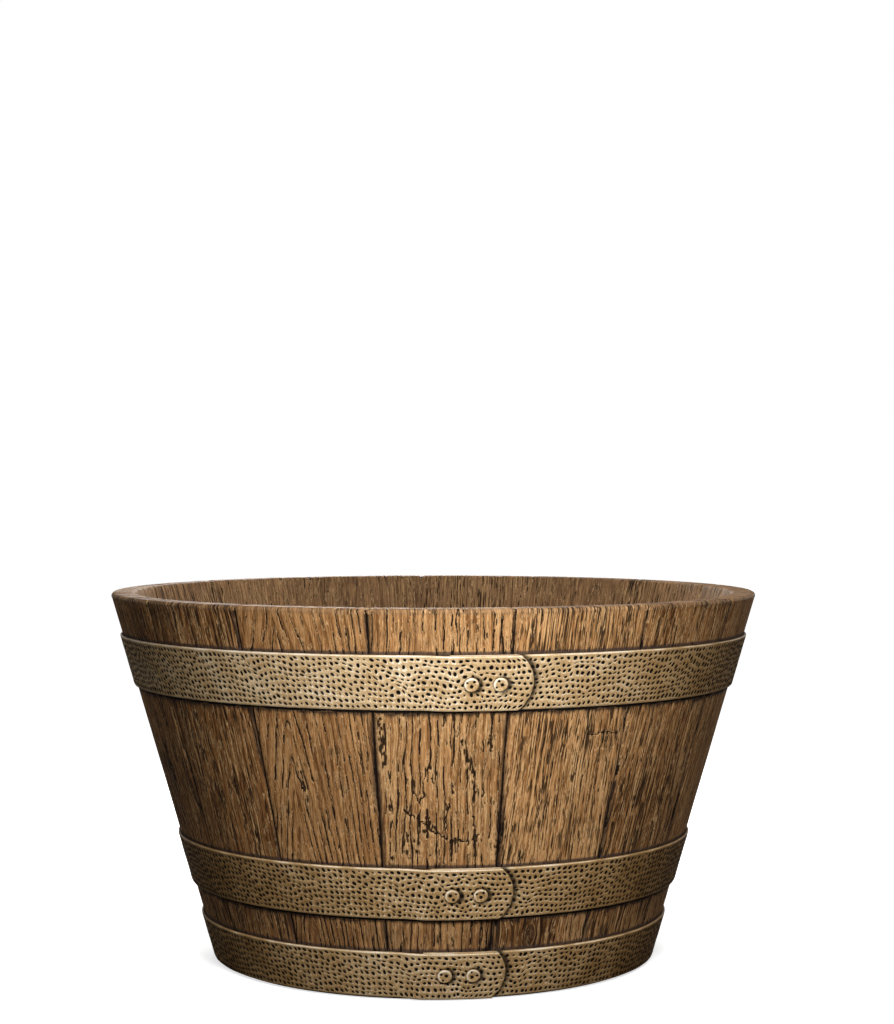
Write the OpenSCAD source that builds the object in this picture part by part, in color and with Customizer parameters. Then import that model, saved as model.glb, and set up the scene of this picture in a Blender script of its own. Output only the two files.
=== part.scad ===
// Coopered half-barrel planter: tapered staves, a crozed-in bottom head and three lapped, riveted hoops.
// Millimetres, +Z up, origin on the ground at the middle of the foot. Azimuths are measured
// round the tub from its front, -Y, and grow to the right, towards +X.

/* [Tub] */
// Height from the ground to the rim
tub_h = 315; // [290:1:340]
// Outer diameter across the staves at the rim
rim_d = 557; // [530:1:590]
// Outer diameter to which the staves would run at the ground, if the foot weren't rounded
base_d = 375; // [350:1:400]
// Thickness of a stave
stave_t = 20; // [17:0.5:24]
// Radius of the foot's outer edge
foot_r = 7; // [5:0.5:9]
// Radius that eases the rim's two edges
rim_ease = 3; // [1:0.5:5]
// Depth of the V where two staves meet
seam_depth = 1.4; // [0.6:0.1:2.5]

/* [Bottom head] */
// Thickness of the head's boards
head_t = 18; // [15:0.5:22]
// Height of the croze's middle above the ground
croze_z = 33; // [28:0.5:40]
// Width of the croze, the groove that holds the head
croze_w = 9; // [7:0.5:11]
// Depth of the croze
croze_depth = 6; // [4:0.5:8]
// Length of the bevel round the head, from its full thickness to its tongue
bevel_len = 16; // [10:1:24]
// Diameter of a drain hole
drain_d = 13; // [9:0.5:16]
// Radius of the ring of outer drain holes
drain_ring_r = 108; // [98:1:118]
// Diameter of a dowel
dowel_d = 8; // [6:0.5:10]
// Length of a dowel
dowel_len = 40; // [30:1:46]
// Distance between the two dowels of a joint
dowel_pitch = 120; // [100:1:130]

/* [Hoops] */
// Thickness of the hoop strip
hoop_t = 2; // [1.2:0.1:2.6]
// Width of the top hoop's strip, along the slope
top_hoop_w = 44.5; // [38:0.5:50]
// Height of the top hoop's upper edge
top_hoop_z = 279.5; // [265:0.5:284]
// Width of the middle hoop's strip, along the slope
middle_hoop_w = 43; // [36:0.5:50]
// Height of the middle hoop's upper edge
middle_hoop_z = 110; // [100:0.5:140]
// Height of the base hoop's upper edge
base_hoop_z = 40.5; // [34:0.5:46]
// Angle below the horizontal at which the base hoop's curl ends
curl_end = 34; // [26:1:36]
// Radius that eases the long edges of a hoop
hoop_ease = 0.8; // [0.4:0.1:1]

/* [Laps and rivets] */
// Azimuth of the outer end of each hoop's strip
lap_azimuth = 16.6; // [0:0.1:30]
// Overlap of the strip's two ends
lap_len = 64; // [58:1:80]
// Length of the joggle, where the strip steps up on to its own other end
joggle_len = 5; // [3:0.5:10]
// Radius of the strip's rounded end
nose_r = 28; // [26:0.5:34]
// Distance from the strip's end to the first rivet
rivet_end = 25.8; // [20:0.1:28]
// Distance between the two rivets
rivet_pitch = 22; // [16:0.1:26]
// Diameter of a rivet's head
rivet_head_d = 11.6; // [9:0.1:14]
// Height of a rivet's head
rivet_head_h = 2.2; // [1.5:0.1:3.5]
// Diameter of a rivet's shank
rivet_d = 5; // [4:0.1:6]

/* [Hidden] */
$fn = 96;

// Relative widths of the staves, taken round the tub from the seam at first_seam. A cooper
// picks staves at random, so no two neighbours are alike.
STAVE_SHARES = [24.1, 23.9, 25.2, 23.4, 24.6, 24.9, 23.5, 25, 23.8, 24.7, 24.2, 23.7, 22.3, 23.1, 23.6];
first_seam = 13;           // azimuth of the seam where the first stave starts
STAVE_NAMES = [for (i = [1:len(STAVE_SHARES)]) str("stave_", i < 10 ? "0" : "", i)];
BOARD_NAMES = [for (i = [1:5]) str("head_board_", i)];
HOOP_NAMES = ["top_hoop", "middle_hoop", "base_hoop"];
RIVET_NAMES = ["top_hoop_rivets", "middle_hoop_rivets", "base_hoop_rivets"];

head_fit = 0.25;           // play of the head in the croze, each side and at its bottom
dowel_fit = 0.1;           // radial play of a dowel in its hole
dowel_end_fit = 1;         // room past each end of a dowel
rivet_fit = 0.1;           // radial play of a rivet in its holes
lap_fit = 0.1;             // gap between the two layers of a lap
foot_inner_ease = 2;       // radius of the foot's inner edge
tongue_in = 1;             // how far the head's tongue shows inside the wall
rivet_rim_share = 0.3;     // straight rim of a rivet's head, as a share of its height
tail_flare = 1.5;          // how far a rivet's flush tail is wider than its shank, all round
tail_depth = 0.9;          // depth of the flush tail
joggle_gap = 1;            // gap between the joggle and the strip's under end
joggle_ease = 0.3;         // how far the joggle's faces lie inside those of the layers it joins
curl_steps = 4;            // flat steps round the base hoop's curl
round_steps = 5;           // flat steps round an eased corner of a stave's profile
past = 10;                 // how far a cutting body runs past what it cuts

taper = atan((rim_d - base_d) / 2 / tub_h);
wall_x = stave_t / cos(taper);             // thickness of the wall, measured level
board_count = len(BOARD_NAMES);

// Outer radius and inner radius of the staves at a height
function outer_r(z) = base_d / 2 + z * tan(taper);
function inner_r(z) = outer_r(z) - wall_x;

// Directions in the profile plane, (radius, height): up the wall, and square out of it
up_wall = [sin(taper), cos(taper)];
out_of_wall = [cos(taper), -sin(taper)];

// A rounded corner of a profile, as points on its arc. to_a and to_b are unit vectors from the
// corner p along its two edges, and the points run from the first edge to the second.
function corner_centre(p, to_a, to_b, r) =
    p + (to_a + to_b) / norm(to_a + to_b) * r / sin(acos(to_a * to_b) / 2);
function rounded(p, to_a, to_b, r) =
    let (
        c = corner_centre(p, to_a, to_b, r),
        reach = r / tan(acos(to_a * to_b) / 2),
        start = p + reach * to_a - c,
        end = p + reach * to_b - c
    ) [for (k = [0:round_steps]) let (d = (round_steps - k) * start + k * end) c + r * d / norm(d)];

// ---- Staves ----

stave_total = [for (i = 0, s = 0; i < len(STAVE_SHARES); s = s + STAVE_SHARES[i], i = i + 1) s];
share_sum = STAVE_SHARES * [for (s = STAVE_SHARES) 1];
function seam_azimuth(i) =
    first_seam + 360 * (i < len(STAVE_SHARES) ? stave_total[i] : share_sum) / share_sum;

croze_r = inner_r(croze_z) + croze_depth;

foot_out = [outer_r(0), 0];
foot_in = [inner_r(0), 0];
rim_out = [outer_r(tub_h), tub_h];
rim_in = [inner_r(tub_h), tub_h];
foot_centre = corner_centre(foot_out, [-1, 0], up_wall, foot_r);

module stave_profile() {
    difference() {
        polygon(concat(
            rounded(foot_in, up_wall, [1, 0], foot_inner_ease),
            rounded(foot_out, [-1, 0], up_wall, foot_r),
            rounded(rim_out, -up_wall, [-1, 0], rim_ease),
            rounded(rim_in, [1, 0], -up_wall, rim_ease)
        ));
        translate([inner_r(0) - past, croze_z - croze_w / 2])
            square([croze_r - inner_r(0) + past, croze_w]);
    }
}

// What a stave loses where its outer face meets a seam: half of the V along that seam. side is
// 1 on the stave that starts at the seam, and -1 on the one that ends there.
module seam_ease(azimuth, side) {
    rotate([0, 0, azimuth - 90])
        translate([outer_r(0), 0, 0])
            rotate([0, taper, 0])
                rotate([0, 0, -45 * side])
                    translate([-seam_depth / sqrt(2), -past, -past])
                        cube([2 * past, 2 * past, tub_h / cos(taper) + 2 * past]);
}

module stave(i) {
    color("peru")
        difference() {
            rotate([0, 0, seam_azimuth(i) - 90])
                rotate_extrude(angle = seam_azimuth(i + 1) - seam_azimuth(i)) stave_profile();
            seam_ease(seam_azimuth(i), 1);
            seam_ease(seam_azimuth(i + 1), -1);
        }
}

// ---- Bottom head ----

head_r = croze_r - head_fit;
tongue_t = croze_w - 2 * head_fit;
tongue_r = inner_r(croze_z - croze_w / 2) - tongue_in;   // where the tongue meets the bevel
board_w = 2 * head_r / board_count;
drain_azimuth = asin(board_w / drain_ring_r);            // puts the outer drains mid-board

// The whole head before it is cut into boards: flat faces, a bevel and a tongue round its edge
module head_disc() {
    rotate_extrude()
        polygon([
            [0, croze_z - head_t / 2], [tongue_r - bevel_len, croze_z - head_t / 2],
            [tongue_r, croze_z - tongue_t / 2], [head_r, croze_z - tongue_t / 2],
            [head_r, croze_z + tongue_t / 2], [tongue_r, croze_z + tongue_t / 2],
            [tongue_r - bevel_len, croze_z + head_t / 2], [0, croze_z + head_t / 2]
        ]);
}

module drain_holes() {
    spots = concat([[0, 0]], [for (sx = [-1, 1], sy = [-1, 1])
        drain_ring_r * [sx * cos(drain_azimuth), sy * sin(drain_azimuth)]]);
    for (spot = spots)
        translate([spot[0], spot[1], croze_z - head_t / 2 - past])
            cylinder(d = drain_d, h = head_t + 2 * past);
}

// Dowels through the joints on each side of a board, or the holes for them with play > 0
module dowels_at_joint(joint, play) {
    for (side = [-1, 1])
        translate([side * dowel_pitch / 2, -head_r + joint * board_w, croze_z])
            rotate([90, 0, 0])
                cylinder(
                    r = dowel_d / 2 + (play ? dowel_fit : 0),
                    h = dowel_len + (play ? 2 * dowel_end_fit : 0),
                    center = true
                );
}

module head_board(i) {
    color("burlywood")
        difference() {
            intersection() {
                head_disc();
                translate([-head_r - past, -head_r + i * board_w, croze_z - head_t])
                    cube([2 * (head_r + past), board_w, 2 * head_t]);
            }
            drain_holes();
            for (joint = [max(i, 1):min(i + 1, board_count - 1)]) dowels_at_joint(joint, true);
        }
}

module head_dowels() {
    color("wheat")
        for (joint = [1:board_count - 1]) dowels_at_joint(joint, false);
}

// ---- Hoops ----

hoop_tops = [top_hoop_z, middle_hoop_z, base_hoop_z];
// The base hoop's flat stretch runs down to where the foot's round starts
curl_top_z = foot_centre[1] + foot_r * out_of_wall[1];
hoop_widths = [top_hoop_w, middle_hoop_w, (base_hoop_z - curl_top_z) / cos(taper)];
is_base = [false, false, true];
layer_step = hoop_t + lap_fit;             // how far the lap's outer layer stands off the inner

// Height on the wall of the middle of a hoop, and the angle that a length takes round it
function hoop_mid_z(h) = hoop_tops[h] - hoop_widths[h] / 2 * cos(taper);
function round_hoop(h, len) = len / outer_r(hoop_mid_z(h)) * 180 / PI;

// The point of the wall at a height, moved out square to the wall
function off_wall(z, out) = [outer_r(z), z] + out * out_of_wall;

// Section of a hoop whose inner face stands off the wall by out. The base hoop's lower edge
// goes on round the foot, from the wall's own slope to the end of its curl.
function curl_arc(r) = [for (k = [0:curl_steps])
    let (below = taper + (curl_end - taper) * k / curl_steps)
    foot_centre + r * [cos(below), -sin(below)]];
function backwards(list) = [for (k = [len(list) - 1:-1:0]) list[k]];
function lower_edge(h, out, thick) = is_base[h]
    ? concat(curl_arc(foot_r + out + thick), backwards(curl_arc(foot_r + out)))
    : let (low = off_wall(hoop_tops[h], out) - hoop_widths[h] * up_wall) [
        low + thick * out_of_wall + hoop_ease * up_wall,
        low + (thick - hoop_ease) * out_of_wall,
        low
    ];
function strip_section(h, out, thick) =
    let (top = off_wall(hoop_tops[h], out))
    concat(
        [top, top + (thick - hoop_ease) * out_of_wall, top + thick * out_of_wall - hoop_ease * up_wall],
        lower_edge(h, out, thick)
    );

// Places its children on the wall, their +Z square out of it, their +X down the slope and
// their +Y round the tub
module on_wall(azimuth, z) {
    rotate([0, 0, azimuth - 90])
        translate([outer_r(z), 0, z])
            rotate([0, 90 + taper, 0]) children();
}

// A stretch of strip between two azimuths, whose inner face stands off the wall by out
module hoop_layer(h, out, from, to, thick = hoop_t) {
    rotate([0, 0, from - 90])
        rotate_extrude(angle = to - from) polygon(strip_section(h, out, thick));
}

// The joggle, where the strip steps up from the wall on to its own other end
module strip_joggle(h, from, to) {
    hoop_layer(h, joggle_ease, from, to, layer_step + hoop_t - 2 * joggle_ease);
}

// The outer layer's end, cut to a round nose
module strip_nose(h, from) {
    nose_start = lap_azimuth - round_hoop(h, nose_r);
    difference() {
        hoop_layer(h, layer_step, from, lap_azimuth + round_hoop(h, past));
        on_wall(nose_start, hoop_mid_z(h))
            difference() {
                translate([-nose_r, 0, -past]) cube([2 * nose_r, nose_r + 2 * past, 2 * past]);
                translate([0, 0, -2 * past]) cylinder(r = nose_r, h = 4 * past);
            }
    }
}

// The hole for one rivet through both layers, with the flare that takes its flush tail
module rivet_hole() {
    translate([0, 0, -past]) cylinder(r = rivet_d / 2 + rivet_fit, h = 2 * past);
    translate([0, 0, -tail_depth])
        cylinder(r1 = rivet_d / 2 + rivet_fit + 2 * tail_flare, r2 = rivet_d / 2 + rivet_fit, h = 2 * tail_depth);
}

function rivet_azimuths(h) = [for (k = [0, 1]) lap_azimuth - round_hoop(h, rivet_end + k * rivet_pitch)];

module hoop(h) {
    under_end = lap_azimuth - round_hoop(h, lap_len);
    joggle_end = under_end - round_hoop(h, joggle_gap);
    joggle_start = joggle_end - round_hoop(h, joggle_len);
    joggle_mid = (joggle_start + joggle_end) / 2;
    color("darkkhaki")
        difference() {
            union() {
                hoop_layer(h, 0, under_end, joggle_mid + 360);
                strip_joggle(h, joggle_start, joggle_end);
                strip_nose(h, joggle_mid);
            }
            for (azimuth = rivet_azimuths(h)) on_wall(azimuth, hoop_mid_z(h)) rivet_hole();
        }
}

// ---- Rivets ----

// A rivet set in a lap: domed head outside, shank through both layers, flush tail inside
module rivet() {
    seat = layer_step + hoop_t;
    rim_h = rivet_head_h * rivet_rim_share;
    cap_h = rivet_head_h - rim_h;
    dome_r = (pow(rivet_head_d / 2, 2) + cap_h * cap_h) / (2 * cap_h);
    rotate_extrude() {
        translate([0, seat]) square([rivet_head_d / 2, rim_h]);
        translate([0, seat])
            intersection() {
                translate([0, rivet_head_h - dome_r]) circle(dome_r);
                square([rivet_head_d / 2, rivet_head_h]);
            }
        square([rivet_d / 2, seat]);
        polygon([[0, 0], [rivet_d / 2 + tail_flare, 0], [rivet_d / 2, tail_depth], [0, tail_depth]]);
    }
}

module hoop_rivets(h) {
    color("goldenrod")
        for (azimuth = rivet_azimuths(h)) on_wall(azimuth, hoop_mid_z(h)) rivet();
}

for (i = [0:len(STAVE_NAMES) - 1]) stave(i);
for (i = [0:len(BOARD_NAMES) - 1]) head_board(i);
head_dowels();
for (h = [0:len(HOOP_NAMES) - 1]) hoop(h);
for (h = [0:len(RIVET_NAMES) - 1]) hoop_rivets(h);
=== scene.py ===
"""The finish of a coopered half-barrel planter: weathered wood staves, pitted antique-bronze hoops and
their rivets, and the boards of the bottom head. Geometry is worked out in millimetres and goes into
the frame's metres when a mesh is made. Azimuths grow from the front, -Y, to the right, +X."""

import math
from collections import namedtuple

import bpy
import numpy as np
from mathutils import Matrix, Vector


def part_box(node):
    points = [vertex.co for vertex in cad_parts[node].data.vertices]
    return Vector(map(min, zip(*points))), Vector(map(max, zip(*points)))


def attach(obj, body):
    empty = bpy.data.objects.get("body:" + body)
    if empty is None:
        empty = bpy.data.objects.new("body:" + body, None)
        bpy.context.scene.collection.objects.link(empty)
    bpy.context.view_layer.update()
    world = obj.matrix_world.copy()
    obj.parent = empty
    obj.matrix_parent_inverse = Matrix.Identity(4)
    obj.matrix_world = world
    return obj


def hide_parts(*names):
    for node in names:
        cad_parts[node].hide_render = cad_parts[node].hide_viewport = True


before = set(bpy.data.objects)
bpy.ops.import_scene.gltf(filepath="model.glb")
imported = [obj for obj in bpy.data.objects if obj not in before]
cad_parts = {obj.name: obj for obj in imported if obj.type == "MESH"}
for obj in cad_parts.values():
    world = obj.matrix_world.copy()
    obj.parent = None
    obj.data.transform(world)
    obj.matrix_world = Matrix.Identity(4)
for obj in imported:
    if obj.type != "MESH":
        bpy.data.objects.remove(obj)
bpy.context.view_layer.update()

MM = 0.001

# ---- The tub's sizes, as the frame has them ----

RIM_D = 557.0
BASE_D = 375.0
TUB_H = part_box("stave_01")[1].z / MM
STAVE_T = 20.0
FOOT_R = 7.0
RIM_EASE = 3.0
SEAM_DEPTH = 2.2            # the V along a seam, a little worn
CROZE_Z = 33.0
CROZE_W = 9.0
CROZE_DEPTH = 6.0
HOOP_T = 2.0
LAP_FIT = 0.1
LAP_AZIMUTH = 16.6          # where each strip's outer end is, in degrees
LAP_LEN = 64.0
NOSE_R = 28.0               # round of the outer end
RIVET_END = 25.8            # from the outer end to the nearer rivet
RIVET_PITCH = 22.0
RIVET_HEAD_R = 5.8
CURL_END = 34.0             # slope of the base hoop's wall at its lower edge, in degrees
FIRST_SEAM = 13.0           # azimuth at which the first stave starts, in degrees
# How wide the staves are against each other, from the first one on
STAVE_SHARES = (24.1, 23.9, 25.2, 23.4, 24.6, 24.9, 23.5, 25, 23.8, 24.7, 24.2, 23.7, 22.3, 23.1, 23.6)
HOOP_TOPS = {name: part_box(name)[1].z / MM for name in ("top_hoop", "middle_hoop", "base_hoop")}
HOOP_WIDTHS = {"top_hoop": 44.5, "middle_hoop": 43.0}     # the base hoop reaches the foot
board_low, board_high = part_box("head_board_3")
BOARD_W = (board_high.y - board_low.y) / MM

TAPER = math.atan((RIM_D - BASE_D) / 2 / TUB_H)
UP_WALL = np.array([math.sin(TAPER), math.cos(TAPER)])
OUT_OF_WALL = np.array([math.cos(TAPER), -math.sin(TAPER)])


def outer_r(z):
    return BASE_D / 2 + z * math.tan(TAPER)


def inner_r(z):
    return outer_r(z) - STAVE_T / math.cos(TAPER)


# ---- Noise and mesh helpers ----


def hashed(ix, iy, seed):
    """A number from 0 to 1 for each whole-number place."""
    h = ix.astype(np.int64) * 374761393 + iy.astype(np.int64) * 668265263 + int(seed) * 974634777
    h &= 0xFFFFFFFF
    h = ((h ^ (h >> 13)) * 1274126177) & 0xFFFFFFFF
    h = ((h ^ (h >> 15)) * 2246822519) & 0xFFFFFFFF
    return ((h ^ (h >> 16)) & 0xFFFFFF) / float(0xFFFFFF)


def noise(x, y, seed):
    """Smooth noise from -1 to 1, one wave to a unit."""
    ix, iy = np.floor(x), np.floor(y)
    fx, fy = x - ix, y - iy
    fx, fy = fx * fx * (3 - 2 * fx), fy * fy * (3 - 2 * fy)
    low = hashed(ix, iy, seed) * (1 - fx) + hashed(ix + 1, iy, seed) * fx
    high = hashed(ix, iy + 1, seed) * (1 - fx) + hashed(ix + 1, iy + 1, seed) * fx
    return (low * (1 - fy) + high * fy) * 2 - 1


def layered(x, y, seed, octaves=3):
    """Noise with finer and weaker noise added to it."""
    return sum(noise(x * 2**k, y * 2**k, seed + 17 * k) / 2**k for k in range(octaves)) / 1.6


def step_up(value, low, high):
    """Smooth step from 0 at low to 1 at high."""
    t = np.clip((value - low) / (high - low), 0, 1)
    return t * t * (3 - 2 * t)


def add_object(name, data):
    """A new object in the scene."""
    made = bpy.data.objects.new(name, data)
    bpy.context.scene.collection.objects.link(made)
    return made


def make_mesh(name, points_mm, quads, tris, attributes, material, caps=()):
    """A mesh object from arrays. attributes maps a name to one number or one vector a point, and
    caps are faces with any number of corners."""
    mesh = bpy.data.meshes.new(name)
    quads = np.asarray(quads, np.int32).reshape(-1, 4)
    tris = np.asarray(tris, np.int32).reshape(-1, 3)
    loops = np.concatenate([quads.ravel(), tris.ravel()] + [np.asarray(c, np.int32) for c in caps])
    cap_sizes = [len(c) for c in caps]
    sizes = np.concatenate([np.full(len(quads), 4), np.full(len(tris), 3), cap_sizes]).astype(np.int32)
    starts = np.concatenate([[0], np.cumsum(sizes)[:-1]]).astype(np.int32)
    mesh.vertices.add(len(points_mm))
    mesh.vertices.foreach_set("co", (np.asarray(points_mm) * MM).astype(np.float32).ravel())
    mesh.loops.add(len(loops))
    mesh.loops.foreach_set("vertex_index", loops)
    mesh.polygons.add(len(sizes))
    mesh.polygons.foreach_set("loop_start", starts)
    mesh.update(calc_edges=True)
    mesh.validate()
    for key, values in attributes.items():
        values = np.asarray(values, np.float32)
        kind, field = ("FLOAT", "value") if values.size == len(points_mm) else ("FLOAT_VECTOR", "vector")
        mesh.attributes.new(key, kind, "POINT").data.foreach_set(field, values.ravel())
    mesh.polygons.foreach_set("use_smooth", np.ones(len(sizes), bool))
    mesh.materials.append(material)
    return add_object(name, mesh)


def ring_of_faces(outer, within):
    """Quads between closed rings of points, one ring in each row of the two arrays."""
    return np.stack([outer, within, np.roll(within, -1, 1), np.roll(outer, -1, 1)], -1).reshape(-1, 4)


# ---- Shader expressions ----


class Shade:
    """A socket of a material's nodes. Arithmetic on it adds Math nodes."""

    def __init__(self, tree, socket=None):
        self.tree = tree
        self.socket = socket

    def node(self, kind, settings=None, inputs=None, output=0):
        """Adds a node of any other kind: its settings first, then its sockets' values or links."""
        made = self.tree.nodes.new("ShaderNode" + kind)
        for key, value in (settings or {}).items():
            if key == "stops":
                ramp = made.color_ramp
                while len(ramp.elements) < len(value):
                    ramp.elements.new(0.5)
                for element, (place, colour) in zip(ramp.elements, value):
                    element.position = place
                    element.color = colour
            else:
                setattr(made, key, value)
        for key, value in (inputs or {}).items():
            if isinstance(value, Shade):
                self.tree.links.new(value.socket, made.inputs[key])
            else:
                made.inputs[key].default_value = value
        return Shade(self.tree, made.outputs[output]) if made.outputs else None

    def maths(self, operation, *values):
        return self.node("Math", {"operation": operation}, dict(enumerate(values)))

    def part(self, axis):
        return self.node("SeparateXYZ", None, {0: self}, axis)

    def __add__(self, other):
        return self.maths("ADD", self, other)

    __radd__ = __add__

    def __sub__(self, other):
        return self.maths("SUBTRACT", self, other)

    def __rsub__(self, other):
        return self.maths("SUBTRACT", other, self)

    def __mul__(self, other):
        return self.maths("MULTIPLY", self, other)

    __rmul__ = __mul__

    def clipped(self):
        return self.node("Clamp", None, {"Value": self})

    def between(self, low, high, to_low=0.0, to_high=1.0):
        """Smooth step of this value, from to_low at low to to_high at high."""
        return self.node(
            "MapRange",
            {"interpolation_type": "SMOOTHSTEP"},
            {"Value": self, "From Min": low, "From Max": high, "To Min": to_low, "To Max": to_high},
        )

    def attribute(self, name, output="Fac"):
        return self.node("Attribute", {"attribute_name": name}, None, output)

    def noise_at(self, vector, waves, detail, roughness=0.5):
        """Noise from 0 to 1 with so many waves a unit, across and along."""
        place = self.node("VectorMath", {"operation": "MULTIPLY"}, {0: vector, 1: (*waves, 1.0)})
        return self.node(
            "TexNoise", None, {"Vector": place, "Scale": 1.0, "Detail": detail, "Roughness": roughness}
        )

    def coated(self, colour, *coats):
        """A colour under coats of others, each written as its share and its colour."""
        for share, coat in coats:
            colour = self.node("Mix", {"data_type": "RGBA"}, {0: share, 6: colour, 7: coat}, 2)
        return colour

    def ramp(self, stops):
        """The colour that a ramp has at this value."""
        return self.node("ValToRGB", {"stops": stops}, {"Fac": self})


def srgb(red, green, blue):
    """A colour written in 0-255 display numbers, as a shader's linear colour."""
    shares = (red / 255, green / 255, blue / 255)
    return tuple(((c + 0.055) / 1.055) ** 2.4 if c > 0.04045 else c / 12.92 for c in shares) + (1.0,)


def new_material(name):
    material = bpy.data.materials.new(name)
    material.use_nodes = True
    material.node_tree.nodes.clear()
    return material, Shade(material.node_tree)


def finish_material(shade, colour, roughness, height, bump_mm, specular, metallic=0.0):
    """Ends a material in one Principled shader. Colour, roughness and height may vary over the surface."""
    normal = shade.node("Bump", None, {"Strength": 1.0, "Distance": bump_mm * MM, "Height": height})
    surface = shade.node(
        "BsdfPrincipled", None,
        {"Base Color": colour, "Roughness": roughness, "Metallic": metallic, "Specular IOR Level": specular,
         "Normal": normal},
    )
    shade.node("OutputMaterial", None, {"Surface": surface})


WOOD_STOPS = (
    (0.12, srgb(62, 37, 18)), (0.36, srgb(110, 72, 38)), (0.56, srgb(150, 105, 62)),
    (0.76, srgb(190, 142, 92)), (1.0, srgb(226, 183, 131)),
)
BRONZE_STOPS = (
    (0.1, srgb(74, 50, 23)), (0.38, srgb(139, 104, 59)), (0.6, srgb(185, 150, 103)),
    (0.8, srgb(226, 200, 160)), (1.0, srgb(254, 242, 222)),
)


def wood_colours(shade, grain, ring, tone):
    """Brown wood, streaked and speckled along the grain. grain is (across, along, seed) in mm.
    Returns the colour and the noise of the fibres."""
    streak = shade.noise_at(grain, (0.32, 0.012), 3.0, 0.6)
    fibre = shade.noise_at(grain, (1.1, 0.05), 2.0, 0.65)
    mottle = shade.noise_at(grain, (0.05, 0.022), 2.0)
    speckle = shade.noise_at(grain, (1.7, 0.3), 2.0, 0.65)
    level = -0.23 + streak * 0.56 + fibre * 0.5 + speckle * 0.46 + mottle * 0.34 - ring * 0.24 + tone
    return level.clipped().ramp(WOOD_STOPS), fibre


def stave_wood():
    """Aged stave wood: black carved cracks with pale edges, partly wear and partly painted highlight,
    painted shade by the hoops and seams, darker low down, and a greyer rim and inside."""
    material, shade = new_material("stave_wood")
    grain = shade.attribute("grain", "Vector")
    carved = shade.attribute("carved")
    dirt = shade.attribute("dirt")
    wood, fibre = wood_colours(shade, grain, shade.attribute("ring"), shade.attribute("tone"))
    ragged = shade.noise_at(grain, (1.2, 0.65), 2.0, 0.6)
    # Thin wandering checks, broken in places
    winding = shade.noise_at(grain, (0.14, 0.014), 3.0, 0.62)
    breaks = shade.noise_at(grain, (0.22, 0.07), 2.0, 0.6)
    thin = 1 - shade.maths("ABSOLUTE", winding - 0.5).between(0.012, 0.04)
    thin = thin * breaks.between(0.5, 0.58)
    # Short open pores, in bands along the grain
    bands = shade.noise_at(grain, (0.13, 0.009), 2.0, 0.6)
    open_grain = shade.attribute("open")
    pores = shade.noise_at(grain, (0.95, 0.13), 2.0, 0.6)
    pores = (pores + (bands - 0.5) * 0.3 - open_grain * 0.07).between(0.62, 0.67)
    # Fine lines of open grain with a pale painted highlight beside each, as on a ridge, closest together in
    # the bands
    winding_rows = shade.noise_at(grain, (0.8, 0.024), 1.0) + (fibre - 0.5) * 0.08
    broken_rows = shade.noise_at(grain, (1.6, 0.15), 1.0)
    broken_rows = (broken_rows + (bands - 0.5) * 0.7).between(0.46, 0.52)
    rows = 1 - shade.maths("ABSOLUTE", winding_rows - 0.5).between(0.034, 0.09)
    rows = rows * broken_rows * (0.2 + open_grain * 0.75)
    ridge_highlights = winding_rows.between(0.57, 0.61) * (1 - winding_rows.between(0.63, 0.69)) * broken_rows
    cut = (carved + (ragged - 0.5) * 0.6 + thin * 0.45).between(0.38, 0.62)
    # Pale edges of the cracks and pale flecks by the seams: partly wear, partly painted highlight
    wear_and_highlight = (carved + thin * 0.4 + (ragged - 0.5) * 0.4).between(0.04, 0.28) * (1 - cut)
    # Mostly painted shade by the hoops and beside the seams, with the knots' darker wood and a darkening low
    # down, broken up along the grain
    shade_edge = shade.noise_at(grain, (0.35, 0.12), 3.0, 0.6)
    grime = (dirt * 1.6 - shade_edge * 0.5 - winding * 0.4 - fibre * 0.4).between(-0.1, 0.75)
    wood = shade.coated(
        wood,
        (shade.attribute("bare") * 0.55, srgb(128, 104, 80)),
        (wear_and_highlight * ragged.between(0.3, 0.65, 0.15, 0.8), srgb(226, 184, 132)),
        (ridge_highlights * 0.5, srgb(222, 174, 118)),
        (pores * 0.78, srgb(42, 29, 19)),
        (rows * 0.94, srgb(28, 20, 14)),
        (grime * 0.84, srgb(40, 30, 27)),
        (shade.attribute("dust") * 0.32, srgb(112, 98, 92)),
        (cut * 0.92, srgb(22, 17, 14)),
    )
    height = fibre * 0.5 + (wear_and_highlight + ridge_highlights) * 0.3 - pores * 0.8 - rows - cut * 1.2
    finish_material(shade, wood, 0.74 - fibre * 0.16 + cut * 0.2, height, 0.4, 0.07)
    return material


def head_wood():
    """The bottom head's boards: plain, weathered, and cut from different logs."""
    material, shade = new_material("head_wood")
    place = shade.node("TexCoord", None, None, "Object")
    along, across, depth = (place.part(axis) * (1 / MM) for axis in range(3))
    board = shade.maths("FLOOR", across * (1 / BOARD_W) + 2.5)
    log = across + depth * 0.7 + board * 211.0
    cut = shade.node("CombineXYZ", None, {0: log, 1: along, 2: board * 37.0})
    wave = shade.noise_at(cut, (0.02, 0.006), 1.0) * 60.0
    ring = shade.maths("FRACT", (log + wave) * 0.2)
    tone = shade.maths("FRACT", board * 0.618) * 0.24 - 0.08
    wood, fibre = wood_colours(shade, cut, ring, tone)
    joint = shade.maths("FRACT", across * (1 / BOARD_W) + 0.5) - 0.5
    joint = shade.maths("ABSOLUTE", joint).between(0.5 - 1.6 / BOARD_W, 0.5 - 0.4 / BOARD_W)
    pores = shade.noise_at(cut, (1.4, 0.1), 1.0).between(0.6, 0.7)
    wood = shade.coated(
        wood, (0.35, srgb(126, 104, 80)), (pores * 0.7, srgb(38, 27, 18)), (joint * 0.9, srgb(24, 18, 14))
    )
    finish_material(shade, wood, 0.78 - fibre * 0.1, fibre * 0.5 - pores - joint * 2, 0.3, 0.1)
    return material


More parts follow.
